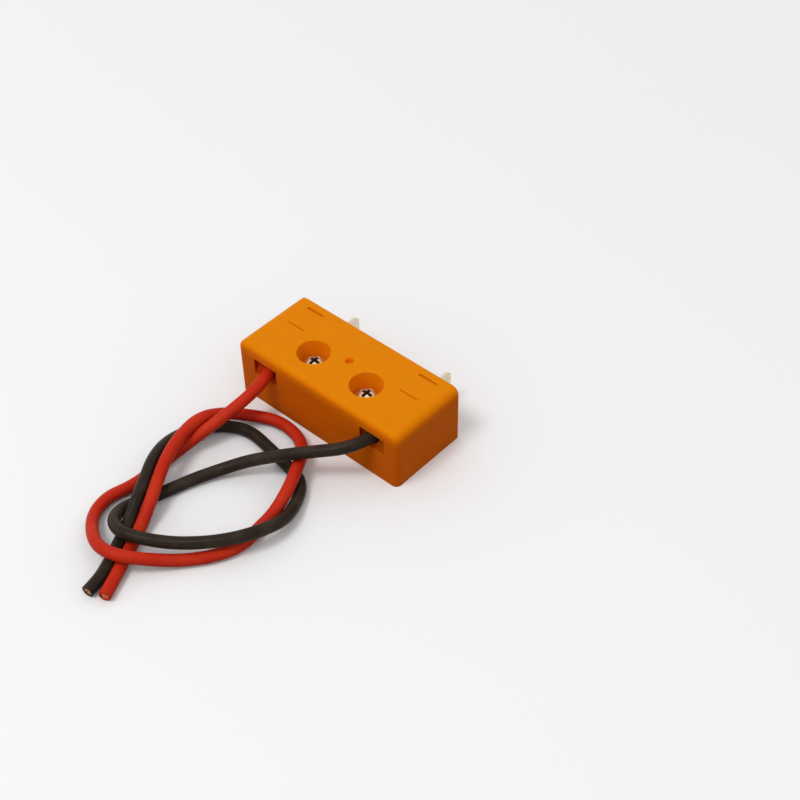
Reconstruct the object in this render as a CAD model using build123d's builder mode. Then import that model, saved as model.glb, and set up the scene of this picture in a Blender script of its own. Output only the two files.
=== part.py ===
# Tool battery adapter: an orange block that fills the terminal bay of a slide-on tool
# battery and brings its two poles out on loose silicone leads with bare cut ends.
#
# Millimetres. +X runs along the block, +Y towards the battery's terminals, +Z up.
# The origin is the middle of the block's underside, on the surface it stands on.
import os
from math import radians, tan

from build123d import *

# Driving dimensions of the block
block_length = 51.5
block_depth = 22.3
block_height = 16.3
end_round = 2.2
front_round = 1.4
rear_chamfer = 0.4
end_wall = 2.0
rear_wall = 2.3
front_rim = 1.8
top_wall = 3.2
plate_thickness = 3.6
plate_clearance = 0.15
overrun = 1.0
edge_search_margin = 0.05

# Cover screws, nuts and the recesses that hold them
screw_pitch = 17.1
screw_set_back = 8.85
thread_diameter = 2.5
thread_chamfer = 0.4
screw_tip_height = 0.1
head_diameter = 5.0
head_height = 1.7
head_crown = 0.7
crown_shares = [(0, 1), (0.25, 0.35), (1, 0)]
driver_span = 3.0
driver_width = 0.85
driver_depth = 1.1
head_side_room = 1.7
recess_depth = 4.2
recess_draw_in = 1.0
screw_hole_clearance = 0.2
nut_across_flats = 5.0
nut_height = 2.0
nut_clearance = 0.1
nut_sink = 0.4
thread_clearance = 0.03

# Locating hole between the screws
pin_hole_mouth = 2.2
pin_hole_foot = 1.3
pin_hole_depth = 1.1
pin_hole_set_back = 12.25

# Stamped contacts, one for each pole
sheet = 0.6
bend_radius = 0.5
blade_set_in = 10.5
blade_floor_gap = 0.45
blade_reach = 9.0
blade_lead_in = 1.1
ear_width = 5.1
ear_set_in = 4.9
ear_sink = 1.2
ear_corner = 0.7
contact_side_gap = 0.5
ear_side_clearance = 0.1
front_groove_width = 0.35
front_groove_depth = 0.35
rear_groove_width = 0.7
rear_groove_depth = 0.55
contact_clearance = 0.1
shelf_lip = 1.1
tongue_width = 5.0
tongue_gap = 1.5
tongue_corner = 1.0

# Chambers that hold the contacts, and the ribs under them
chamber_side_gap = 1.0
chamber_front_wall = 3.15
rib_width = 2.8
rib_front_margin = 0.5
rib_rear_margin = 0.4

# Ramped notches where the leads come out
red_notch_set_in = 5.4
black_notch_set_in = 3.9
notch_width = 7.5
notch_drop = 4.8
notch_reach = 2.2
notch_foot_round = 1.6

# Leads. Their insulation has flat sides, so that the long tubes stay light.
wire_diameter = 3.0
wire_sides = 8
core_diameter = 1.7
core_bare_length = 5.0
wire_roof_gap = 0.4
wire_clearance = 0.2
wire_inside_chamber = 0.6
core_clearance = 0.05
core_socket_depth = 1.2
core_end_gap = 1.55
wire_exit_stand_off = 0.45
red_inner_set_in = 8.6
red_exit_set_in = 10.3
black_inner_set_in = 7.0
black_exit_set_in = 8.4
arc_share = 0.45

# Solder over each joint
solder_set_back = 1.2
solder_width = 3.4
solder_height = 2.0
solder_corner = 1.1
solder_draw_in = 0.8
solder_clearance = 0.04

# Places worked out from the values above
front_y = -block_depth / 2
rear_y = block_depth / 2
end_x = block_length / 2
chamber_roof = block_height - top_wall
notch_foot = chamber_roof - notch_drop
wire_radius = wire_diameter / 2
core_radius = core_diameter / 2
wire_height = chamber_roof - wire_roof_gap - wire_radius
contact_top = wire_height - core_radius
contact_bottom = contact_top - sheet
screw_x = screw_pitch / 2
screw_y = front_y + screw_set_back
head_seat = block_height - recess_depth
recess_radius = head_diameter / 2 + head_side_room
nut_ceiling = nut_height + nut_sink
bay_half_length = end_x - end_wall
bay_front = front_y + front_rim
bay_rear = rear_y - rear_wall
bay_centre = (bay_front + bay_rear) / 2
chamber_front = front_y + notch_reach + chamber_front_wall
wire_start_y = chamber_front + wire_inside_chamber
contact_rear = bay_rear - contact_clearance
contact_length = contact_rear - core_end_gap - core_bare_length - wire_start_y
ear_pitch = contact_length - sheet
rear_ear_y = contact_rear - sheet / 2
front_ear_y = rear_ear_y - ear_pitch
contact_front = front_ear_y - sheet / 2
ear_x = end_x - ear_set_in - ear_width / 2
ear_top = block_height - ear_sink
blade_x = end_x - blade_set_in
blade_bottom = plate_thickness + blade_floor_gap
blade_top = contact_top - sheet - bend_radius
contact_inner = blade_x - sheet / 2
contact_outer = bay_half_length - contact_side_gap
chamber_inner = blade_x - chamber_side_gap
chamber_x = (chamber_inner + bay_half_length) / 2
shelf_front = contact_front - shelf_lip
tongue_front = chamber_front + tongue_gap
wire_exit_y = front_y - wire_exit_stand_off
solder_length = core_bare_length - solder_set_back

# The leads' routes. The first two points are the end inside the block and the way out of
# the notch. The rest lie where the loose wires run over the surface and over each other.
red_start = (red_inner_set_in - end_x, wire_start_y, wire_height)
red_exit = (red_exit_set_in - end_x, wire_exit_y, wire_height)
red_route = [
    red_start,
    red_exit,
    (-14.5, -17.8, 10.1),
    (-16.1, -24.6, 7.4),
    (-18.7, -32.2, 4.1),
    (-20.7, -39.4, 1.5),
    (-20.1, -46.3, 1.5),
    (-20.4, -52.5, 1.5),
    (-21.9, -58.0, 1.7),
    (-20.3, -63.5, 1.8),
    (-15.4, -67.9, 3.2),
    (-9.4, -70.6, 4.9),
    (-3.9, -69.5, 5.3),
    (0.6, -64.8, 3.3),
    (5.2, -59.2, 1.5),
    (9.9, -53.2, 1.6),
    (12.0, -47.4, 1.6),
    (11.1, -41.9, 1.5),
    (11.1, -36.8, 2.3),
    (10.1, -31.0, 4.7),
    (7.1, -24.9, 5.0),
    (3.2, -18.9, 3.4),
    (-2.8, -15.0, 1.7),
    (-9.6, -14.6, 1.8),
    (-15.5, -17.6, 1.9),
    (-19.8, -22.6, 3.8),
    (-21.3, -29.2, 6.3),
    (-19.9, -36.9, 6.5),
    (-17.0, -43.8, 6.3),
    (-13.5, -49.5, 5.9),
    (-10.8, -54.4, 4.4),
    (-9.0, -59.1, 1.9),
    (-6.5, -64.0, 1.8),
    (-4.2, -68.7, 1.8),
    (-2.1, -73.0, 1.6),
    (-0.3, -77.2, 1.5),
]
black_start = (end_x - black_inner_set_in, wire_start_y, wire_height)
black_exit = (end_x - black_exit_set_in, wire_exit_y, wire_height)
black_route = [
    black_start,
    black_exit,
    (14.8, -16.6, 10.3),
    (9.1, -21.0, 8.9),
    (2.9, -25.3, 6.8),
    (-3.6, -29.9, 4.2),
    (-8.4, -35.3, 1.9),
    (-11.3, -41.4, 1.5),
    (-13.0, -47.4, 1.5),
    (-14.8, -52.7, 1.5),
    (-16.5, -57.6, 2.0),
    (-14.4, -62.6, 3.8),
    (-9.3, -64.8, 5.2),
    (-3.7, -62.7, 5.2),
    (1.5, -59.1, 4.6),
    (6.8, -54.9, 5.0),
    (11.4, -49.9, 5.4),
    (14.7, -43.9, 5.5),
    (15.1, -37.2, 3.6),
    (12.6, -30.9, 1.9),
    (8.9, -25.3, 1.7),
    (2.9, -23.7, 1.5),
    (-5.0, -22.4, 1.5),
    (-12.3, -21.4, 1.6),
    (-18.0, -23.8, 1.5),
    (-22.2, -28.4, 1.5),
    (-24.1, -34.0, 2.0),
    (-22.8, -39.9, 3.9),
    (-19.8, -45.5, 5.6),
    (-16.7, -50.4, 5.5),
    (-14.3, -54.8, 4.9),
    (-12.4, -59.0, 2.7),
    (-10.6, -63.1, 1.5),
    (-8.3, -67.4, 1.5),
    (-6.3, -71.3, 1.5),
    (-4.7, -75.2, 1.5),
    (-4.1, -78.8, 1.5),
]
leads = {"red": red_route, "black": black_route}

os.makedirs("parts", exist_ok=True)


def save(builder, name):
    builder.part.label = name
    export_step(builder.part, "parts/" + name + ".step")


def run_of(start, end):
    return (Vector(*end) - Vector(*start)).normalized()


# Housing: the block's outer body, open below, with two chambers for the contacts
with BuildPart() as housing:
    with BuildSketch(Plane.XZ.offset(-front_y)):
        Rectangle(block_length, block_height, align=(Align.CENTER, Align.MIN))
        fillet(vertices().group_by(Axis.Y)[-1], radius=end_round)
    extrude(amount=-block_depth)
    fillet(faces().sort_by(Axis.Y)[0].edges().sort_by(Axis.Z)[1:], radius=front_round)
    chamfer(faces().sort_by(Axis.Y)[-1].edges().sort_by(Axis.Z)[1:], length=rear_chamfer)

    # Bay for the base plate
    with BuildSketch(Plane.XY):
        with Locations((0, bay_centre)):
            Rectangle(2 * bay_half_length, bay_rear - bay_front)
    extrude(amount=plate_thickness, mode=Mode.SUBTRACT)

    # Screw holes in tapered recesses, and the tapered locating hole between them
    with Locations((-screw_x, screw_y, block_height), (screw_x, screw_y, block_height)):
        Hole(radius=thread_diameter / 2 + screw_hole_clearance)
        Cone(
            bottom_radius=recess_radius - recess_draw_in,
            top_radius=recess_radius,
            height=recess_depth,
            align=(Align.CENTER, Align.CENTER, Align.MAX),
            mode=Mode.SUBTRACT,
        )
    with Locations((0, front_y + pin_hole_set_back, block_height)):
        Cone(
            bottom_radius=pin_hole_foot / 2,
            top_radius=pin_hole_mouth / 2,
            height=pin_hole_depth,
            align=(Align.CENTER, Align.CENTER, Align.MAX),
            mode=Mode.SUBTRACT,
        )

    for side, notch_set_in in ((-1, red_notch_set_in), (1, black_notch_set_in)):
        # Chamber under the shelf that the contact bears up against
        with BuildSketch(Plane.XY.offset(plate_thickness)):
            with Locations((side * chamber_x, (chamber_front + bay_rear) / 2)):
                Rectangle(bay_half_length - chamber_inner, bay_rear - chamber_front)
        extrude(amount=contact_top - plate_thickness, mode=Mode.SUBTRACT)

        # Taller front of the chamber, over the soldered joint
        with BuildSketch(Plane.XY.offset(plate_thickness)):
            with Locations((side * chamber_x, (chamber_front + shelf_front) / 2)):
                Rectangle(bay_half_length - chamber_inner, shelf_front - chamber_front)
        extrude(amount=chamber_roof - plate_thickness, mode=Mode.SUBTRACT)

        # Pockets that locate the contact's two ears, each marked on top by a thin groove
        for ear_y, groove_width, groove_depth in (
            (front_ear_y, front_groove_width, front_groove_depth),
            (rear_ear_y, rear_groove_width, rear_groove_depth),
        ):
            with BuildSketch(Plane.XY.offset(contact_top)):
                with Locations((side * ear_x, ear_y)):
                    Rectangle(ear_width + 2 * ear_side_clearance, sheet + 2 * contact_clearance)
            extrude(amount=ear_top + contact_clearance - contact_top, mode=Mode.SUBTRACT)
            with BuildSketch(Plane.XY.offset(block_height)):
                with Locations((side * ear_x, ear_y)):
                    Rectangle(ear_width + 2 * ear_side_clearance, groove_width)
            extrude(amount=-groove_depth, mode=Mode.SUBTRACT)

        # Slit in the rear wall, open below, for the blade
        with BuildSketch(Plane.XY):
            with Locations((side * blade_x, bay_rear)):
                Rectangle(sheet + 2 * contact_clearance, 2 * (rear_y - bay_rear) + overrun)
        extrude(amount=blade_top + contact_clearance, mode=Mode.SUBTRACT)

        # Notch whose floor ramps out to the front face
        with BuildSketch(Plane.YZ.offset(side * (end_x - notch_set_in - notch_width / 2))):
            with BuildLine():
                Polyline(
                    (front_y, notch_foot),
                    (front_y + notch_reach, chamber_roof),
                    (front_y - overrun, chamber_roof),
                    (front_y - overrun, notch_foot),
                    close=True,
                )
            make_face()
        extrude(amount=notch_width / 2, both=True, mode=Mode.SUBTRACT)
    front_edges = edges().filter_by(Axis.X).group_by(Axis.Y)[0]
    lowest = notch_foot - edge_search_margin
    highest = notch_foot + edge_search_margin
    fillet(front_edges.filter_by_position(Axis.Z, lowest, highest), radius=notch_foot_round)

    # Round hole from each chamber to the notch, in line with the lead's first run
    for route in leads.values():
        with BuildSketch(Plane(origin=route[0], z_dir=run_of(route[0], route[1]))):
            Circle(wire_radius + wire_clearance)
        extrude(amount=wire_start_y - front_y, mode=Mode.SUBTRACT)
save(housing, "housing")

# Base plate: closes the block from below, traps the nuts and props up the contacts
with BuildPart() as base_plate:
    with BuildSketch(Plane.XY):
        with Locations((0, bay_centre)):
            Rectangle(2 * (bay_half_length - plate_clearance), bay_rear - bay_front - 2 * plate_clearance)
    extrude(amount=plate_thickness)
    with BuildSketch(Plane.XY.offset(plate_thickness)):
        rib_front = tongue_front + rib_front_margin
        rib_rear = contact_rear - rib_rear_margin
        for side in (-1, 1):
            with Locations((side * ear_x, (rib_front + rib_rear) / 2)):
                Rectangle(rib_width, rib_rear - rib_front)
    extrude(amount=contact_bottom - plate_thickness)
    with BuildSketch(Plane.XY):
        with Locations((-screw_x, screw_y), (screw_x, screw_y)):
            RegularPolygon(nut_across_flats / 2 + nut_clearance, 6, major_radius=False)
    extrude(amount=nut_ceiling, mode=Mode.SUBTRACT)
    with Locations((-screw_x, screw_y, plate_thickness), (screw_x, screw_y, plate_thickness)):
        Hole(radius=thread_diameter / 2 + screw_hole_clearance)
save(base_plate, "base_plate")

# Pan-head cover screws with a cross recess, and the nuts that they draw up
for name, middle in (("left", -screw_x), ("right", screw_x)):
    head_top = head_seat + head_height
    with BuildPart() as screw:
        with BuildSketch(Plane.XZ.offset(-screw_y)):
            with BuildLine():
                Polyline(
                    (middle, screw_tip_height),
                    (middle + thread_diameter / 2 - thread_chamfer, screw_tip_height),
                    (middle + thread_diameter / 2, screw_tip_height + thread_chamfer),
                    (middle + thread_diameter / 2, head_seat),
                    (middle + head_diameter / 2, head_seat),
                    *[
                        (middle + head_diameter / 2 - inward * head_crown, head_top - down * head_crown)
                        for inward, down in crown_shares
                    ],
                    (middle, head_top),
                    close=True,
                )
            make_face()
        revolve(axis=Axis((middle, screw_y, 0), (0, 0, 1)))
        with BuildSketch(Plane.XY.offset(head_top)):
            with Locations((middle, screw_y)):
                Rectangle(driver_span, driver_width)
                Rectangle(driver_width, driver_span)
        extrude(amount=-driver_depth, mode=Mode.SUBTRACT)
    save(screw, name + "_screw")

    with BuildPart() as nut:
        with BuildSketch(Plane.XY.offset(nut_sink)):
            with Locations((middle, screw_y)):
                RegularPolygon(nut_across_flats / 2, 6, major_radius=False)
        extrude(amount=nut_height)
        with Locations((middle, screw_y, nut_ceiling)):
            Hole(radius=thread_diameter / 2 + thread_clearance)
    save(nut, name + "_nut")

# Contact, right-hand one: an angle folded from one sheet. Its blade hangs down and reaches
# out of the rear wall, two ears stand up into the top, and a tongue takes the wire.
with BuildPart() as negative_contact:
    with BuildSketch(Plane.XZ.offset(-contact_front)):
        with BuildLine():
            FilletPolyline(
                (blade_x, blade_bottom),
                (blade_x, contact_top - sheet / 2),
                (contact_outer, contact_top - sheet / 2),
                radius=bend_radius + sheet / 2,
            )
        trace(line_width=sheet)
    extrude(amount=-(contact_rear - contact_front))

    # Blade beyond the folded part, with its corners cut back to lead it in
    with BuildSketch(Plane.YZ.offset(contact_inner)):
        with BuildLine():
            Polyline(
                (contact_rear, blade_bottom),
                (rear_y + blade_reach - blade_lead_in, blade_bottom),
                (rear_y + blade_reach, blade_bottom + blade_lead_in),
                (rear_y + blade_reach, blade_top - blade_lead_in),
                (rear_y + blade_reach - blade_lead_in, blade_top),
                (contact_rear, blade_top),
                close=True,
            )
        make_face()
    extrude(amount=sheet)

    # Window that the front ear was lanced from
    with BuildSketch(Plane.XY.offset(contact_top)):
        with Locations((ear_x, front_ear_y + sheet / 2 + (ear_top - contact_top) / 2)):
            Rectangle(ear_width, ear_top - contact_top)
    extrude(amount=-sheet, mode=Mode.SUBTRACT)

    # Ears
    for ear_y in (front_ear_y, rear_ear_y):
        with BuildSketch(Plane.XZ.offset(-(ear_y - sheet / 2))):
            with Locations((ear_x, contact_bottom)):
                Rectangle(ear_width, ear_top - contact_bottom, align=(Align.CENTER, Align.MIN))
            fillet(vertices().group_by(Axis.Y)[-1], radius=ear_corner)
        extrude(amount=-sheet)

    # Tongue under the wire
    with BuildSketch(Plane.XY.offset(contact_bottom)):
        with Locations((ear_x, tongue_front)):
            Rectangle(tongue_width, contact_front - tongue_front, align=(Align.CENTER, Align.MIN))
        fillet(vertices().group_by(Axis.Y)[0], radius=tongue_corner)
    extrude(amount=sheet)
save(negative_contact, "negative_contact")

with BuildPart() as positive_contact:
    mirror(negative_contact.part, about=Plane.YZ)
save(positive_contact, "positive_contact")

# Leads, from the stripped end inside the block to the bare cut end
pole_of = {"red": "positive", "black": "negative"}
for colour, route in leads.items():
    points = [Vector(*point) for point in route]
    runs = [after - before for before, after in zip(points, points[1:])]
    radii = []
    for before, after in zip(runs, runs[1:]):
        half_turn = radians(before.get_angle(after)) / 2
        radii.append(arc_share * min(before.length, after.length) / tan(half_turn))
    print(colour, "lead, radius at each corner:", [round(radius, 1) for radius in radii])
    first_run = run_of(route[0], route[1])
    last_run = run_of(route[-2], route[-1])

    with BuildPart() as wire:
        with BuildLine() as path:
            FilletPolyline(*route, radius=radii)
        with BuildSketch(Plane(origin=route[0], z_dir=first_run)) as section:
            RegularPolygon(wire_radius, wire_sides)
        sweep(path=path.wires()[0])
        plain_volume = wire.part.volume
        with BuildSketch(Plane(origin=route[0], z_dir=first_run)):
            Circle(core_radius + core_clearance)
        extrude(amount=core_socket_depth, mode=Mode.SUBTRACT)
        with BuildSketch(Plane(origin=route[-1], z_dir=last_run)):
            Circle(core_radius + core_clearance)
        extrude(amount=-core_socket_depth, mode=Mode.SUBTRACT)
    tube_length = path.wires()[0].length
    print(colour, "lead, length:", round(tube_length, 1))
    print(colour, "lead, volume over section times length:",
          round(plain_volume / (section.sketch.area * tube_length), 4))
    save(wire, colour + "_wire")

    # Stripped core on the contact's tongue
    with BuildPart() as conductor:
        with BuildSketch(Plane(origin=Vector(*route[0]) + first_run * core_socket_depth, z_dir=-first_run)):
            Circle(core_radius)
        extrude(amount=core_socket_depth + core_bare_length)
    save(conductor, colour + "_conductor")

    # Core that shows at the cut end
    with BuildPart() as core_end:
        with BuildSketch(Plane(origin=Vector(*route[-1]) - last_run * core_socket_depth, z_dir=last_run)):
            Circle(core_radius)
        extrude(amount=core_socket_depth)
    save(core_end, colour + "_core_end")

    # Solder run over the core and down to the tongue
    with BuildPart() as solder:
        joint_middle = Vector(*route[0]) - first_run * (core_bare_length - solder_length / 2)
        joint_plane = Plane(
            origin=(joint_middle.X, joint_middle.Y, contact_top),
            x_dir=first_run,
            z_dir=(0, 0, 1),
        )
        with BuildSketch(joint_plane):
            Rectangle(solder_length, solder_width)
            chamfer(vertices(), length=solder_corner)
        with BuildSketch(joint_plane.offset(solder_height)):
            Rectangle(solder_length - 2 * solder_draw_in, solder_width - 2 * solder_draw_in)
            chamfer(vertices(), length=solder_corner - solder_draw_in / 2)
        loft(ruled=True)
        with BuildSketch(Plane(origin=route[0], z_dir=-first_run)):
            Circle(core_radius + solder_clearance)
        extrude(amount=core_bare_length + overrun, mode=Mode.SUBTRACT)
    save(solder, pole_of[colour] + "_solder_joint")
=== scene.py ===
# Looks of the tool battery adapter: an orange printed block with two recessed screws,
# and its red and black silicone leads with bare cut ends.
#
# Metres, in the part's own frame: +X along the block, +Y away from the leads, +Z up.
import math
import random

import bmesh
import bpy
from mathutils import Matrix, Vector


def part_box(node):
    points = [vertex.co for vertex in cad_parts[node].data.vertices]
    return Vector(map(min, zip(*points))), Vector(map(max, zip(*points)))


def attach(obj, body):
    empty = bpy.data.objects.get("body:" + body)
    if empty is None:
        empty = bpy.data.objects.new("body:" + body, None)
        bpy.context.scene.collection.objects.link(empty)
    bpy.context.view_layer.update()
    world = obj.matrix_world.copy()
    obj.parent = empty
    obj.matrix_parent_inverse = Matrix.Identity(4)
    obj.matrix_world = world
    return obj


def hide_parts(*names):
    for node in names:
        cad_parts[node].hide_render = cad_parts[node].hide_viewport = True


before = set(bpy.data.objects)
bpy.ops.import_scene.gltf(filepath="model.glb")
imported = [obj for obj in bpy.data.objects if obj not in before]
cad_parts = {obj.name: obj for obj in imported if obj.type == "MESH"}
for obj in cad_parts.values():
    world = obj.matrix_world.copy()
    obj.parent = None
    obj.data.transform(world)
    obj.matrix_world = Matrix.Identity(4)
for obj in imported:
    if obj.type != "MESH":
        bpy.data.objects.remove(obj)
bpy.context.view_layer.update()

MM = 0.001

# Camera, worked out from the block's edges in the photograph
camera_place = (0.1798188, -0.1788679, 0.2533835)
camera_yaw = 42.309
camera_pitch = 44.5773
camera_roll = -0.9295
focal_pixels = 1461.75
picture_pixels = 800
sensor_width_mm = 36.0
camera_near = 0.01
camera_far = 20.0

# Light and floor. The floor is pale to the camera and dimmer to the light it throws back.
key_from = (-0.10, -0.45, 0.89)
key_size = 0.34
key_power = 3.0
sky_strength = 0.70
floor_half_side = 1.6
floor_drop = 0.02 * MM
floor_tone = 0.95
floor_tone_unseen = 0.15
floor_roughness = 0.9
floor_fill = 0.27
floor_fill_from = 0.6
floor_fill_spread = 1.0

# Leads
wire_diameter = 3.0 * MM
core_diameter = 1.7 * MM
bore_clearance = 0.05 * MM
bore_depth = 1.2 * MM
cut_lip = 0.16 * MM
ring_sides = 28
spans_per_point = 12
lip_turns = 3
red_length = 0.2262
black_length = 0.2204

# Strands that show at the cut ends
strand_circles = 4
strands_in_first_circle = 6
strand_circle_turn = 0.35
strand_sides = 6
strand_fill = 0.90
strand_length_spread = 0.45 * MM

# Screws
screw_sides = 48
thread_diameter = 2.5 * MM
thread_pitch = 0.45 * MM
thread_depth = 0.26 * MM
thread_neck_share = 0.35
thread_runout_share = 0.6
rows_per_pitch = 6
head_diameter = 5.0 * MM
head_height = 1.7 * MM
head_edge_round = 0.12 * MM
head_crown = 0.7 * MM
crown_rings = 9
crown_reach_share = 0.9
crown_fall_share = 0.565
cross_span = 3.2 * MM
cross_width = 0.9 * MM
cross_depth = 1.1 * MM
cross_foot_share = 0.42
cross_middle = 0.60 * MM
smallest_sine = 1e-6

# Nuts
nut_sides = 60
nut_face_share = 0.97
nut_countersink = 0.18 * MM
nut_bore_clearance = 0.03 * MM
weld_distance = 0.0001 * MM

# Solder
mound_shares = (1.0, 0.97, 0.9, 0.8, 0.68, 0.54, 0.4, 0.26, 0.12)
mound_swell = 2.6
mound_square = 2.8
mound_sides = 40

# Printed plastic
layer_pitch = 0.24 * MM
layer_wander = 0.6 * layer_pitch
layer_share = 0.4
road_pitch = 0.42 * MM
road_share = 0.35
print_grain_share = 0.6
print_relief = 0.018 * MM
print_roughness = 0.50
print_roughness_spread = 0.16
soft_edge = 0.14 * MM
# How level a surface must be to count as top: for the laid roads, and for the lit top orange against
# the painted shade of the sides
level_facing = 0.6
level_facing_spread = 0.5

# Where the block's colour changes: painted light near the top and round the screws, and painted shade
# inside the notches. Drops are from its top, the recess reach is from a screw's axis, and the
# notch shade is placed from its front and its ends.
glow_drop = 2.4 * MM
glow_spread = 3.4 * MM
glow_share = 0.75
recess_reach = 4.7 * MM
recess_spread = 0.3 * MM
print_speck_share = 0.22
notch_shade_drop = 3.1 * MM
notch_shade_front_gap = 0.15 * MM
notch_shade_spread = 0.2 * MM
notch_shade_depth = 2.5 * MM
notch_shade_depth_spread = 0.3 * MM
notch_shade_end_gap = 2.5 * MM
notch_shade_end_spread = 0.5 * MM
notch_shade_change_spread = 1 * MM
notch_shade_share = 0.85

# Silicone rubber
rubber_dust_share = 0.55
rubber_dust_roughness = 0.10
rubber_speck_share = 0.22
rubber_grain_share = 0.35
rubber_relief = 0.03 * MM

# Screw steel. The painted shade lies in the cross: near the axis, and deeper than the domed top,
# which falls by the dome's fall times the square of the distance from the axis.
dome_fall = 100.0
cross_shade_depth = 0.14 * MM
cross_shade_depth_spread = 0.12 * MM
cross_shade_reach = 2.0 * MM
cross_shade_floor = 1.4 * MM
cross_shade_spread = 0.3 * MM
cross_shade_roughness = 0.25
cross_shade_dullness = 0.9
screw_stain_share = 0.5
screw_stain_roughness = 0.14
screw_roughness = 0.34
scratch_relief = 0.008 * MM

# Zinc, nickel, solder and copper
zinc_roughness = 0.30
zinc_roughness_spread = 0.14
zinc_relief = 0.006 * MM
rub_length = 3.5 * MM
rub_spread = 4 * MM
rub_share = 0.8
sheet_roughness = 0.22
sheet_roughness_spread = 0.12
sheet_relief = 0.003 * MM
sheet_edge_round = 0.08 * MM
flux_height = 0.35 * MM
flux_spread = 0.5 * MM
flux_share = 0.6
flux_dullness = 0.5
solder_roughness = 0.28
solder_roughness_spread = 0.25
solder_relief = 0.03 * MM
solder_edge_round = 0.25 * MM
copper_roughness = 0.26
tin_roughness = 0.12
copper_relief = 0.01 * MM

# Colours, as linear red, green, blue and cover. A pair is the two ends of a mottled colour.
# The top's oranges and the sides' darker, redder oranges are lit and shaded copies of one orange:
# painted shade on the sides
lit_top_oranges = ((0.73, 0.215, 0.001, 1), (0.81, 0.245, 0.002, 1))
shaded_side_oranges = ((0.60, 0.104, 0.001, 1), (0.69, 0.126, 0.001, 1))
# Painted light near the top of the sides
painted_glow_orange = (0.86, 0.205, 0.001, 1)
# Painted bounce light on the walls of the screw recesses
recess_bounce_orange = (0.77, 0.200, 0.001, 1)
speck_orange = (0.86, 0.34, 0.03, 1)
# Painted shade inside the notches, with a painted red reflection of the red lead on its side
red_notch_shade = (0.42, 0.020, 0.004, 1)
black_notch_shade = (0.36, 0.050, 0.003, 1)
red_rubber = ((0.52, 0.020, 0.005, 1), (0.62, 0.044, 0.012, 1))
black_rubber = ((0.023, 0.014, 0.009, 1), (0.064, 0.048, 0.033, 1))
plating = ((0.83, 0.68, 0.48, 1), (0.50, 0.36, 0.22, 1))
# Painted shade in the screws' cross recesses
cross_shade_brown = (0.045, 0.016, 0.006, 1)
zinc_greys = ((0.62, 0.62, 0.60, 1), (0.50, 0.50, 0.52, 1))
nickel = (0.72, 0.69, 0.62, 1)
rubbed_brass = (0.74, 0.56, 0.30, 1)
solder_grey = (0.70, 0.70, 0.69, 1)
flux_brown = (0.45, 0.28, 0.10, 1)
bare_copper = (0.85, 0.34, 0.16, 1)
thick_tin = (0.94, 0.64, 0.44, 1)
unlit = (0, 0, 0, 1)

# The leads' routes: the end inside the block, the way out of the notch, and then the
# places where the loose wires lie over the surface and over each other
red_route = [
    (-0.01715, -0.0052, 0.0112),
    (-0.01545, -0.0116, 0.0112),
    (-0.0145, -0.0178, 0.0101),
    (-0.0161, -0.0246, 0.0074),
    (-0.0187, -0.0322, 0.0041),
    (-0.0207, -0.0394, 0.0015),
    (-0.0201, -0.0463, 0.0015),
    (-0.0204, -0.0525, 0.0015),
    (-0.0219, -0.0580, 0.0017),
    (-0.0203, -0.0635, 0.0018),
    (-0.0154, -0.0679, 0.0032),
    (-0.0094, -0.0706, 0.0049),
    (-0.0039, -0.0695, 0.0053),
    (0.0006, -0.0648, 0.0033),
    (0.0052, -0.0592, 0.0015),
    (0.0099, -0.0532, 0.0016),
    (0.0120, -0.0474, 0.0016),
    (0.0111, -0.0419, 0.0015),
    (0.0111, -0.0368, 0.0023),
    (0.0101, -0.0310, 0.0047),
    (0.0071, -0.0249, 0.0050),
    (0.0032, -0.0189, 0.0034),
    (-0.0028, -0.0150, 0.0017),
    (-0.0096, -0.0146, 0.0018),
    (-0.0155, -0.0176, 0.0019),
    (-0.0198, -0.0226, 0.0038),
    (-0.0213, -0.0292, 0.0063),
    (-0.0199, -0.0369, 0.0065),
    (-0.0170, -0.0438, 0.0063),
    (-0.0135, -0.0495, 0.0059),
    (-0.0108, -0.0544, 0.0044),
    (-0.0090, -0.0591, 0.0019),
    (-0.0065, -0.0640, 0.0018),
    (-0.0042, -0.0687, 0.0018),
    (-0.0021, -0.0730, 0.0016),
    (-0.0003, -0.0772, 0.0015),
]
black_route = [
    (0.01875, -0.0052, 0.0112),
    (0.01735, -0.0116, 0.0112),
    (0.0148, -0.0166, 0.0103),
    (0.0091, -0.0210, 0.0089),
    (0.0029, -0.0253, 0.0068),
    (-0.0036, -0.0299, 0.0042),
    (-0.0084, -0.0353, 0.0019),
    (-0.0113, -0.0414, 0.0015),
    (-0.0130, -0.0474, 0.0015),
    (-0.0148, -0.0527, 0.0015),
    (-0.0165, -0.0576, 0.0020),
    (-0.0144, -0.0626, 0.0038),
    (-0.0093, -0.0648, 0.0052),
    (-0.0037, -0.0627, 0.0052),
    (0.0015, -0.0591, 0.0046),
    (0.0068, -0.0549, 0.0050),
    (0.0114, -0.0499, 0.0054),
    (0.0147, -0.0439, 0.0055),
    (0.0151, -0.0372, 0.0036),
    (0.0126, -0.0309, 0.0019),
    (0.0089, -0.0253, 0.0017),
    (0.0029, -0.0237, 0.0015),
    (-0.0050, -0.0224, 0.0015),
    (-0.0123, -0.0214, 0.0016),
    (-0.0180, -0.0238, 0.0015),
    (-0.0222, -0.0284, 0.0015),
    (-0.0241, -0.0340, 0.0020),
    (-0.0228, -0.0399, 0.0039),
    (-0.0198, -0.0455, 0.0056),
    (-0.0167, -0.0504, 0.0055),
    (-0.0143, -0.0548, 0.0049),
    (-0.0124, -0.0590, 0.0027),
    (-0.0106, -0.0631, 0.0015),
    (-0.0083, -0.0674, 0.0015),
    (-0.0063, -0.0713, 0.0015),
    (-0.0047, -0.0752, 0.0015),
    (-0.0041, -0.0788, 0.0015),
]


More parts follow.
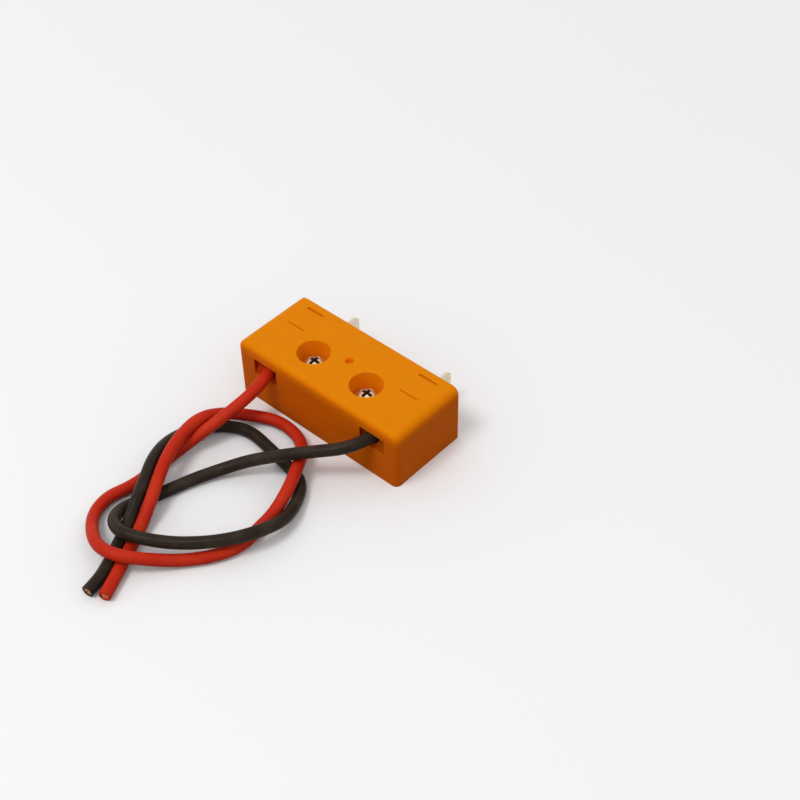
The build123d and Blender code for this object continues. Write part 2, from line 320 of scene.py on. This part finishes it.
class Value:
    """A socket of a material's nodes. Arithmetic on it adds the Math nodes."""

    def __init__(self, paint, socket):
        self.paint = paint
        self.socket = socket

    def math(self, operation, *others):
        return self.paint.node("ShaderNodeMath", {"operation": operation}, self, *others)

    def __add__(self, other):
        return self.math("ADD", other)

    def __mul__(self, other):
        return self.math("MULTIPLY", other)

    def __sub__(self, other):
        return self.math("SUBTRACT", other)

    def __rsub__(self, other):
        return self.paint.node("ShaderNodeMath", {"operation": "SUBTRACT"}, other, self)

    __radd__ = __add__
    __rmul__ = __mul__

    def above(self, edge, spread):
        """0 well below the edge and 1 well above it, with a soft step as wide as the spread."""
        start, stop = edge - spread / 2, edge + spread / 2
        smooth = {"interpolation_type": "SMOOTHSTEP"}
        return self.paint.node("ShaderNodeMapRange", smooth, self, start, stop)

    def waves(self, pitch):
        """A wave from 0 to 1 along this coordinate."""
        return (self * (2 * math.pi / pitch)).math("SINE") * 0.5 + 0.5


class Nodes:
    """The nodes of a material or of the sky."""

    def __init__(self, owner):
        owner.use_nodes = True
        self.owner = owner
        self.tree = owner.node_tree
        self.tree.nodes.clear()

    def node(self, kind, settings=None, *inputs, output=0, **named):
        """Adds a node, sets it up, feeds its inputs in order and by name, and gives an output."""
        made = self.tree.nodes.new(kind)
        for setting, choice in (settings or {}).items():
            setattr(made, setting, choice)
        by_name = {name.replace("_", " "): given for name, given in named.items()}
        for key, given in [*enumerate(inputs), *by_name.items()]:
            if isinstance(given, Value):
                self.tree.links.new(given.socket, made.inputs[key])
            elif given is not None:
                made.inputs[key].default_value = given
        return Value(self, made.outputs[output]) if made.outputs else None

    def seen_directly(self):
        """1 for what the camera, a mirror or clear plastic shows, and 0 for thrown light."""
        rays = self.node("ShaderNodeLightPath").socket.node.outputs
        names = ("Is Camera Ray", "Is Glossy Ray", "Is Transmission Ray")
        straight, mirrored, through = [Value(self, rays[name]) for name in names]
        return (straight + mirrored + through).math("MINIMUM", 1.0)


class Paint(Nodes):
    """A material made of nodes round one Principled shader."""

    def __init__(self, name):
        super().__init__(bpy.data.materials.new(name))
        self.place = self.node("ShaderNodeTexCoord", output="Object")
        self.across, self.along, self.height = self.parts_of(self.place)

    def parts_of(self, vector):
        split = self.node("ShaderNodeSeparateXYZ", None, vector)
        return [Value(self, socket) for socket in split.socket.node.outputs]

    def facing(self):
        """How far the surface faces along X, Y and Z, from -1 to 1."""
        return self.parts_of(self.node("ShaderNodeNewGeometry", output="True Normal"))

    def from_screws(self):
        """How far a place is, seen from above, from the axis of the nearer cover screw."""
        low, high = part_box("right_screw")
        middle = (low + high) / 2
        across, along = self.across.math("ABSOLUTE") - middle.x, self.along - middle.y
        return (across * across + along * along).math("SQRT")

    def noise(self, grain, detail=2.0, stretch=(1, 1, 1), seed=0.0):
        """Soft noise from 0 to 1 round a half. The grain is its size in metres."""
        stretched = self.node("ShaderNodeMapping", None, self.place, Scale=stretch)
        return self.node(
            "ShaderNodeTexNoise",
            {"noise_dimensions": "4D"},
            Vector=stretched, W=seed, Scale=1 / grain, Detail=detail,
        )

    def patches(self, edge, spread, grain, detail=3.0, **kind):
        """Soft patches of 1 on 0, where the noise is above the edge."""
        return self.noise(grain, detail, **kind).above(edge, spread)

    def mix(self, share, first, second):
        """A colour between the first and the second."""
        unused = [None] * 5
        inputs = [share, *unused, first, second]
        return self.node("ShaderNodeMix", {"data_type": "RGBA"}, *inputs, output=2)

    def bump(self, height, depth, under=None):
        return self.node("ShaderNodeBump", None, Height=height, Distance=depth, Normal=under)

    def rounded_edges(self, radius):
        return self.node("ShaderNodeBevel", {"samples": 4}, radius)

    def finish(self, **sockets):
        """Feeds the shader's sockets by name and gives the finished material."""
        shader = self.node("ShaderNodeBsdfPrincipled", None, **sockets)
        self.node("ShaderNodeOutputMaterial", None, shader)
        return self.owner


def printed_plastic():
    """Orange printed plastic: layer lines on its sides, laid roads on its top, soft edges, and painted
    light and shade in its colour.
    """
    paint = Paint("orange_print")
    low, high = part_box("housing")
    flat = paint.facing()[2].math("ABSOLUTE").above(level_facing, level_facing_spread)
    # Lit and shaded copies of one orange, picked by how level the surface is: painted shade on the
    # sides
    top = paint.mix(paint.noise(grain=3.2 * MM), *lit_top_oranges)
    side = paint.mix(paint.noise(grain=2.4 * MM, seed=4.0), *shaded_side_oranges)

    # Painted light: the sides are paler near the top and darker lower down, and the screw recesses are
    # paler still, as painted bounce light
    paler = paint.height.above(high.z - glow_drop, glow_spread) * glow_share
    side = paint.mix(paler, side, painted_glow_orange)
    # Painted bounce light round the screws
    recess = 1 - paint.from_screws().above(recess_reach, recess_spread)
    side = paint.mix(recess, side, recess_bounce_orange)
    specks = paint.patches(edge=0.72, spread=0.10, grain=0.5 * MM, seed=9.0) * print_speck_share
    speckled = paint.mix(specks, paint.mix(flat, side, top), speck_orange)

    # Painted shade inside the notches, redder on the red lead's side as a painted reflection of it
    notch_shade = 1 - paint.across.math("ABSOLUTE").above(high.x - notch_shade_end_gap, notch_shade_end_spread)
    notch_shade = notch_shade * paint.along.above(low.y + notch_shade_front_gap, notch_shade_spread)
    notch_shade = notch_shade * (1 - paint.along.above(low.y + notch_shade_depth, notch_shade_depth_spread))
    notch_shade = notch_shade * (1 - paint.height.above(high.z - notch_shade_drop, notch_shade_spread))
    black_side = paint.across.above(0, notch_shade_change_spread)
    notch_shade_colour = paint.mix(black_side, red_notch_shade, black_notch_shade)

    wander = paint.noise(grain=9 * MM, seed=2.0) * layer_wander
    bands = paint.noise(grain=1.3 * MM, stretch=(0.02, 0.02, 1.0), seed=6.0)
    layers = (paint.height + wander).waves(layer_pitch) * layer_share + bands
    diagonal = (paint.across + paint.along) * math.sqrt(0.5)
    roads = (diagonal + wander).waves(road_pitch) * road_share
    grain = paint.noise(grain=0.35 * MM, detail=3.0, seed=1.0)
    relief = roads * flat + layers * (1 - flat) + grain * print_grain_share
    sheen = paint.noise(grain=1.8 * MM, seed=3.0)
    return paint.finish(
        Base_Color=paint.mix(notch_shade * notch_shade_share, speckled, notch_shade_colour),
        Roughness=sheen * print_roughness_spread + print_roughness,
        Normal=paint.bump(relief, print_relief, paint.rounded_edges(soft_edge)),
        Specular_IOR_Level=0.06,
        Specular_Tint=(1.0, 0.6, 0.15, 1),
        Subsurface_Weight=0.40,
        Subsurface_Radius=(1.0, 0.30, 0.05),
        Subsurface_Scale=1.3 * MM,
    )


def silicone(name, colours, roughness, seed):
    """Satin silicone rubber, faintly dusty, with a fine moulded grain."""
    paint = Paint(name)
    dust = paint.patches(edge=0.55, spread=0.35, grain=5 * MM, detail=4.0, seed=seed)
    specks = paint.patches(edge=0.70, spread=0.12, grain=0.3 * MM, detail=2.0, seed=seed + 1)
    grain = paint.noise(grain=0.22 * MM, detail=3.0, seed=seed + 2)
    swell = paint.noise(grain=2.6 * MM, seed=seed + 3)
    worn = dust * rubber_dust_share + specks * rubber_speck_share
    return paint.finish(
        Base_Color=paint.mix(worn, *colours),
        Roughness=dust * rubber_dust_roughness + roughness,
        Normal=paint.bump(grain * rubber_grain_share + swell, rubber_relief),
        Specular_IOR_Level=0.10,
    )


def screw_steel():
    """Bright plated steel, finely scratched, with painted shade down in the cross recess."""
    paint = Paint("screw_steel")
    out = paint.from_screws()
    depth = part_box("right_screw")[1].z - paint.height
    # Painted shade in the cross recess: darker, duller and rougher down in it
    cross_shade = (depth - out * out * dome_fall).above(cross_shade_depth, cross_shade_depth_spread)
    cross_shade = cross_shade * (1 - out.above(cross_shade_reach, cross_shade_spread))
    cross_shade = cross_shade * (1 - depth.above(cross_shade_floor, cross_shade_spread))
    stains = paint.patches(edge=0.60, spread=0.30, grain=0.5 * MM)
    scratches = paint.noise(grain=0.12 * MM, stretch=(1, 8, 1), seed=3.0)
    metal = paint.mix(stains * screw_stain_share, *plating)
    return paint.finish(
        Base_Color=paint.mix(cross_shade, metal, cross_shade_brown),
        Metallic=1 - cross_shade * cross_shade_dullness,
        Roughness=stains * screw_stain_roughness + cross_shade * cross_shade_roughness + screw_roughness,
        Normal=paint.bump(scratches, scratch_relief),
    )


def nut_zinc():
    """Dull zinc, with patches of a thicker coat."""
    paint = Paint("nut_zinc")
    thick = paint.patches(edge=0.5, spread=0.4, grain=0.9 * MM)
    return paint.finish(
        Base_Color=paint.mix(thick, *zinc_greys),
        Metallic=1.0,
        Roughness=thick * zinc_roughness_spread + zinc_roughness,
        Normal=paint.bump(paint.noise(grain=0.25 * MM, seed=2.0), zinc_relief),
    )


def contact_sheet():
    """Nickel-plated sheet, rolled along the blade and rubbed brassy where it slides."""
    paint = Paint("contact_sheet")
    rolled = paint.noise(grain=0.30 * MM, stretch=(1, 0.04, 1))
    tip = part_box("negative_contact")[1].y
    slides = paint.along.above(tip - rub_length, rub_spread)
    streaks = paint.patches(edge=0.5, spread=0.3, grain=0.8 * MM, stretch=(1, 0.2, 1), seed=5.0)
    return paint.finish(
        Base_Color=paint.mix(slides * streaks * rub_share, nickel, rubbed_brass),
        Metallic=1.0,
        Roughness=rolled * sheet_roughness_spread + sheet_roughness,
        Normal=paint.bump(rolled, sheet_relief, paint.rounded_edges(sheet_edge_round)),
    )


def solder_metal():
    """Frosty solder with a little dried flux at its foot."""
    paint = Paint("solder_metal")
    foot_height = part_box("positive_solder_joint")[0].z
    foot = 1 - paint.height.above(foot_height + flux_height, flux_spread)
    crystals = paint.noise(grain=0.18 * MM, detail=4.0)
    return paint.finish(
        Base_Color=paint.mix(foot * flux_share, solder_grey, flux_brown),
        Metallic=1 - foot * flux_dullness,
        Roughness=crystals * solder_roughness_spread + solder_roughness,
        Normal=paint.bump(crystals, solder_relief, paint.rounded_edges(solder_edge_round)),
    )


def tinned_copper():
    """Coppery where the tin is thin, paler where it is thick."""
    paint = Paint("tinned_copper")
    tin = paint.patches(edge=0.56, spread=0.2, grain=0.25 * MM)
    return paint.finish(
        Base_Color=paint.mix(tin, bare_copper, thick_tin),
        Metallic=1.0,
        Roughness=tin * tin_roughness + copper_roughness,
        Normal=paint.bump(paint.noise(grain=0.08 * MM), copper_relief),
    )


def grey(tone):
    """A colour with the same red, green and blue."""
    return (tone, tone, tone, 1)


def floor_paper():
    """A plain pale sheet, evened out where the key light no longer reaches. The light that
    it throws back on the block is kept low."""
    paint = Paint("floor_paper")
    seen = paint.seen_directly()
    away = (paint.across * paint.across + paint.along * paint.along).math("SQRT")
    faraway = seen * away.above(floor_fill_from, floor_fill_spread)
    return paint.finish(
        Base_Color=paint.mix(seen, grey(floor_tone_unseen), grey(floor_tone)),
        Roughness=floor_roughness,
        Specular_IOR_Level=0.0,
        Emission_Color=paint.mix(faraway, unlit, grey(floor_fill)),
        Emission_Strength=1.0,
    )


def wear(piece, material):
    """Gives a piece one material."""
    piece.data.materials.clear()
    piece.data.materials.append(material)


def settle(name, work, material, crease_degrees=30):
    """Turns finished bmesh work into a piece of the scene, smooth but for its sharp edges."""
    bmesh.ops.recalc_face_normals(work, faces=work.faces)
    for face in work.faces:
        face.smooth = True
    for edge in work.edges:
        edge.smooth = edge.calc_face_angle(0) < math.radians(crease_degrees)
    mesh = bpy.data.meshes.new(name)
    work.to_mesh(mesh)
    work.free()
    piece = bpy.data.objects.new(name, mesh)
    bpy.context.scene.collection.objects.link(piece)
    wear(piece, material)
    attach(piece, "root")
    return piece


def ring(work, centre, side, up, radius, sides):
    """A ring of vertices round a centre."""
    turns = [2 * math.pi * k / sides for k in range(sides)]
    return [
        work.verts.new(centre + (side * math.cos(turn) + up * math.sin(turn)) * radius)
        for turn in turns
    ]


def bridge(work, first, second):
    """Faces between two rings of the same number of vertices."""
    count = len(first)
    for k in range(count):
        after = (k + 1) % count
        work.faces.new((first[k], first[after], second[after], second[k]))


def smooth_line(name, route):
    """Points along the smooth spline that has the route's points as its control points."""
    curve = bpy.data.curves.new(name, "CURVE")
    curve.dimensions = "3D"
    spline = curve.splines.new("NURBS")
    spline.points.add(len(route) - 1)
    for point, place in zip(spline.points, route):
        point.co = (*place, 1.0)
    spline.order_u = 3
    spline.use_endpoint_u = True
    spline.resolution_u = spans_per_point
    holder = bpy.data.objects.new(name, curve)
    mesh = bpy.data.meshes.new_from_object(holder)
    places = [vertex.co.copy() for vertex in mesh.vertices]
    bpy.data.objects.remove(holder)
    bpy.data.curves.remove(curve)
    bpy.data.meshes.remove(mesh)
    return places


def frames_along(places):
    """Each place with the direction there and a side vector that doesn't twist."""
    ahead = [b - a for a, b in zip(places, places[1:])]
    directions = [ahead[0], *[a + b for a, b in zip(ahead, ahead[1:])], ahead[-1]]
    directions = [direction.normalized() for direction in directions]
    side = directions[0].cross(Vector((0, 0, 1))).normalized()
    found = []
    for place, direction in zip(places, directions):
        side = (side - direction * side.dot(direction)).normalized()
        found.append((place, direction, side, direction.cross(side)))
    return found


def cut_end(outer, inner):
    """Radius of each ring of a cut end, and how far it stands out from the end. They run
    from the bottom of the bore, round the lip, to the outside."""
    rings = [(inner, -bore_depth), (inner, -cut_lip / 2), (inner + cut_lip / 2, 0.0)]
    for k in range(lip_turns + 1):
        turn = math.pi / 2 * k / lip_turns
        rings.append((outer - cut_lip * (1 - math.sin(turn)), -cut_lip * (1 - math.cos(turn))))
    return rings


def insulation(name, places, material):
    """A lead's silicone tube, open at both ends for a short way, where its core shows."""
    work = bmesh.new()
    outer, inner = wire_diameter / 2, core_diameter / 2 + bore_clearance
    along = frames_along(places)
    rings = []
    start, direction, side, up = along[0]
    for radius, reach in cut_end(outer, inner):
        rings.append(ring(work, start - direction * reach, side, up, radius, ring_sides))
    for place, _, side, up in along[1:-1]:
        rings.append(ring(work, place, side, up, outer, ring_sides))
    stop, direction, side, up = along[-1]
    for radius, reach in reversed(cut_end(outer, inner)):
        rings.append(ring(work, stop + direction * reach, side, up, radius, ring_sides))
    for first, second in zip(rings, rings[1:]):
        bridge(work, first, second)
    work.faces.new(rings[0])
    work.faces.new(rings[-1])
    return settle(name, work, material, crease_degrees=50)


def strand_places(circles, spacing):
    """Places in a round bundle: one in the middle and circles of six, twelve and more."""
    places = [(0.0, 0.0)]
    for circle in range(1, circles + 1):
        count = strands_in_first_circle * circle
        for k in range(count):
            turn = 2 * math.pi * k / count + strand_circle_turn * circle
            places.append((circle * spacing * math.cos(turn), circle * spacing * math.sin(turn)))
    return places


def strands(name, places, seed, material):
    """The lead's core as fine strands in the bore of its cut end, cut a little unevenly."""
    work = bmesh.new()
    chance = random.Random(seed)
    stop, direction, side, up = frames_along(places)[-1]
    spacing = core_diameter / (2 * strand_circles + 1)
    radius = spacing / 2 * strand_fill
    for across, over in strand_places(strand_circles, spacing):
        foot = stop + side * across + up * over
        reach = -chance.random() * strand_length_spread
        shape = ((radius, -bore_depth), (radius, reach - radius / 2), (radius / 2, reach))
        rings = [
            ring(work, foot + direction * stand, side, up, size, strand_sides)
            for size, stand in shape
        ]
        for first, second in zip(rings, rings[1:]):
            bridge(work, first, second)
        work.faces.new(rings[0])
        work.faces.new(rings[-1])
    return settle(name, work, material, crease_degrees=40)


def upright_rings(work, middle, outlines):
    """Rings round a vertical axis, each given as the radius and the height at every turn."""
    rings = []
    for outline in outlines:
        count = len(outline)
        rings.append([
            work.verts.new((
                middle.x + reach * math.cos(2 * math.pi * k / count),
                middle.y + reach * math.sin(2 * math.pi * k / count),
                rise,
            ))
            for k, (reach, rise) in enumerate(outline)
        ])
    for first, second in zip(rings, rings[1:]):
        bridge(work, first, second)
    return rings


def cross_outline(span, width, centre, turns):
    """Radius of a cross with four arms at each turn, with a round middle between them."""
    reaches = []
    for turn in turns:
        folded = abs((turn + math.pi / 4) % (math.pi / 2) - math.pi / 4)
        arm_end = span / 2 / math.cos(folded)
        arm_side = width / 2 / max(math.sin(folded), smallest_sine)
        reaches.append(max(centre, min(arm_end, arm_side)))
    return reaches


def crown_height(top, reach):
    """Height of a screw's domed top at a distance from the axis."""
    share = reach / (head_diameter / 2 - head_edge_round) * crown_reach_share
    fall = 1 - math.sqrt(max(0.0, 1 - share ** 2))
    return top - head_crown * fall / crown_fall_share


def thread_outlines(foot, seat, turns):
    """Outlines of a thread from its foot to the head's seat. It runs out at both ends."""
    outlines = []
    rows = int((seat - foot) / thread_pitch * rows_per_pitch)
    for row in range(rows + 1):
        rise = foot + (seat - foot) * row / rows
        fade = min(1.0, (rise - foot) / thread_pitch, (seat - rise) / thread_pitch + thread_neck_share)
        runout = thread_depth * thread_runout_share * (1 - min(1.0, fade * 2))
        outline = []
        for turn in turns:
            phase = (rise / thread_pitch - turn / (2 * math.pi)) % 1.0
            tooth = abs(phase * 2 - 1)
            groove = thread_depth * (1 - tooth) * fade + runout
            outline.append((thread_diameter / 2 - groove, rise))
        outlines.append(outline)
    return outlines


def head_outlines(top, turns):
    """Outlines of a pan head: its rim, its domed top and the walls of the cross."""
    radius = head_diameter / 2
    seat = top - head_height
    rim = radius - head_edge_round
    mouth = cross_outline(cross_span, cross_width, cross_middle, turns)
    outlines = [
        [(rim, seat)] * screw_sides,
        [(radius, seat + head_edge_round)] * screw_sides,
        [(radius, crown_height(top, rim) - head_edge_round)] * screw_sides,
    ]
    for k in range(crown_rings + 1):
        share = k / crown_rings
        reaches = [rim + (into - rim) * share for into in mouth]
        outlines.append([(reach, crown_height(top, reach)) for reach in reaches])
    outlines.append([(reach * cross_foot_share, top - cross_depth) for reach in mouth])
    return outlines


def cross_screw(name, node, material):
    """Pan-head screw with a domed head, a tapered cross recess and a real thread."""
    low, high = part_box(node)
    turns = [2 * math.pi * k / screw_sides for k in range(screw_sides)]
    thread = thread_outlines(low.z, high.z - head_height, turns)
    work = bmesh.new()
    rings = upright_rings(work, (low + high) / 2, thread + head_outlines(high.z, turns))
    work.faces.new(rings[0])
    work.faces.new(rings[-1])
    screw = settle(name, work, material, crease_degrees=35)
    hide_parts(node)
    return screw


def hex_nut(name, node, material):
    """Hex nut, chamfered on both faces, with a countersunk bore."""
    low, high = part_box(node)
    middle = (low + high) / 2
    flat = (high.y - low.y) / 2
    face_circle = flat * nut_face_share
    bore = thread_diameter / 2 + nut_bore_clearance
    reaches = []
    for k in range(nut_sides):
        turn = 2 * math.pi * k / nut_sides
        reaches.append(flat / math.cos(turn % (math.pi / 3) - math.pi / 6))
    drops = [(reach - face_circle) * math.tan(math.pi / 6) for reach in reaches]
    outlines = [
        [(bore, low.z + nut_countersink)] * nut_sides,
        [(bore + nut_countersink, low.z)] * nut_sides,
        [(face_circle, low.z)] * nut_sides,
        [(reach, low.z + drop) for reach, drop in zip(reaches, drops)],
        [(reach, high.z - drop) for reach, drop in zip(reaches, drops)],
        [(face_circle, high.z)] * nut_sides,
        [(bore + nut_countersink, high.z)] * nut_sides,
        [(bore, high.z - nut_countersink)] * nut_sides,
        [(bore, low.z + nut_countersink)] * nut_sides,
    ]
    work = bmesh.new()
    upright_rings(work, middle, outlines)
    bmesh.ops.remove_doubles(work, verts=work.verts, dist=weld_distance)
    nut = settle(name, work, material, crease_degrees=20)
    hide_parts(node)
    return nut


def solder_mound(name, node, material):
    """Soft solder drawn up over the bare core and down to a thin feathered foot."""
    low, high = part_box(node)
    middle = (low + high) / 2
    half_length, half_width = (high.y - low.y) / 2, (high.x - low.x) / 2
    outlines = []
    for share in mound_shares:
        fall = math.sqrt(max(0.0, 1 - share ** mound_swell))
        rise = low.z + (high.z - low.z) * fall
        outline = []
        for k in range(mound_sides):
            turn = 2 * math.pi * k / mound_sides
            across, over = abs(math.cos(turn)) / half_width, abs(math.sin(turn)) / half_length
            reach = (across ** mound_square + over ** mound_square) ** (-1 / mound_square)
            outline.append((reach * share, rise))
        outlines.append(outline)
    work = bmesh.new()
    rings = upright_rings(work, middle, outlines)
    work.faces.new(rings[0])
    work.faces.new(rings[-1])
    mound = settle(name, work, material, crease_degrees=60)
    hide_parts(node)
    return mound


def keep_node(node, material):
    """Keeps a node of the frame and gives it its finish."""
    wear(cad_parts[node], material)


def stand_camera():
    """The camera of the photograph."""
    yaw, pitch, roll = (math.radians(x) for x in (camera_yaw, camera_pitch, camera_roll))
    level = Vector((math.cos(yaw), math.sin(yaw), 0))
    forward = Vector((-math.sin(yaw), math.cos(yaw), 0))
    ahead = forward * math.cos(pitch) - Vector((0, 0, math.sin(pitch)))
    above = level.cross(ahead)
    right = level * math.cos(roll) + above * math.sin(roll)
    up = above * math.cos(roll) - level * math.sin(roll)
    data = bpy.data.cameras.new("camera")
    data.sensor_width = sensor_width_mm
    data.lens = focal_pixels * sensor_width_mm / picture_pixels
    data.clip_start = camera_near
    data.clip_end = camera_far
    camera = bpy.data.objects.new("camera", data)
    turned = Matrix((right, up, -ahead)).transposed()
    camera.matrix_world = Matrix.Translation(camera_place) @ turned.to_4x4()
    bpy.context.scene.collection.objects.link(camera)
    bpy.context.scene.camera = camera


def hang_key_light():
    """A weak key light from above and in front."""
    data = bpy.data.lights.new("key", "AREA")
    data.shape = "DISK"
    data.size = key_size
    data.energy = key_power
    key = bpy.data.objects.new("key", data)
    key.location = key_from
    key.rotation_mode = "QUATERNION"
    key.rotation_quaternion = (-Vector(key_from)).to_track_quat("-Z", "Y")
    bpy.context.scene.collection.objects.link(key)


def spread_sky():
    """A pale even sky, white where it is seen."""
    sky = Nodes(bpy.data.worlds.new("sky"))
    strength = sky.seen_directly() * (1 - sky_strength) + sky_strength
    light = sky.node("ShaderNodeBackground", None, grey(1.0), strength)
    sky.node("ShaderNodeOutputWorld", None, light)
    bpy.context.scene.world = sky.owner


def lay_floor():
    """The plain sheet that the block stands on."""
    mesh = bpy.data.meshes.new("floor")
    work = bmesh.new()
    corners = ((-1, -1), (1, -1), (1, 1), (-1, 1))
    work.faces.new([
        work.verts.new((x * floor_half_side, y * floor_half_side, -floor_drop)) for x, y in corners
    ])
    work.to_mesh(mesh)
    work.free()
    floor = bpy.data.objects.new("floor", mesh)
    bpy.context.scene.collection.objects.link(floor)
    wear(floor, floor_paper())


stand_camera()

copper = tinned_copper()
red = silicone("red_silicone", red_rubber, roughness=0.42, seed=11.0)
black = silicone("black_silicone", black_rubber, roughness=0.36, seed=21.0)
for colour, route, length, skin, cut_seed in (
    ("red", red_route, red_length, red, 3),
    ("black", black_route, black_length, black, 5),
):
    places = smooth_line(colour + "_line", route)
    tube = insulation(colour + "_insulation", places, skin)
    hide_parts(colour + "_wire")
    core = strands(colour + "_strands", places, cut_seed, copper)
    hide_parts(colour + "_core_end")
    keep_node(colour + "_conductor", copper)

plastic = printed_plastic()
keep_node("housing", plastic)
keep_node("base_plate", plastic)
sheet_metal = contact_sheet()
keep_node("positive_contact", sheet_metal)
keep_node("negative_contact", sheet_metal)
solder = solder_metal()
solder_mound("positive_solder", "positive_solder_joint", solder)
solder_mound("negative_solder", "negative_solder_joint", solder)
steel = screw_steel()
cross_screw("left_cover_screw", "left_screw", steel)
cross_screw("right_cover_screw", "right_screw", steel)
zinc = nut_zinc()
hex_nut("left_hex_nut", "left_nut", zinc)
hex_nut("right_hex_nut", "right_nut", zinc)

hang_key_light()
spread_sky()
lay_floor()
bpy.context.scene.view_settings.view_transform = "Standard"
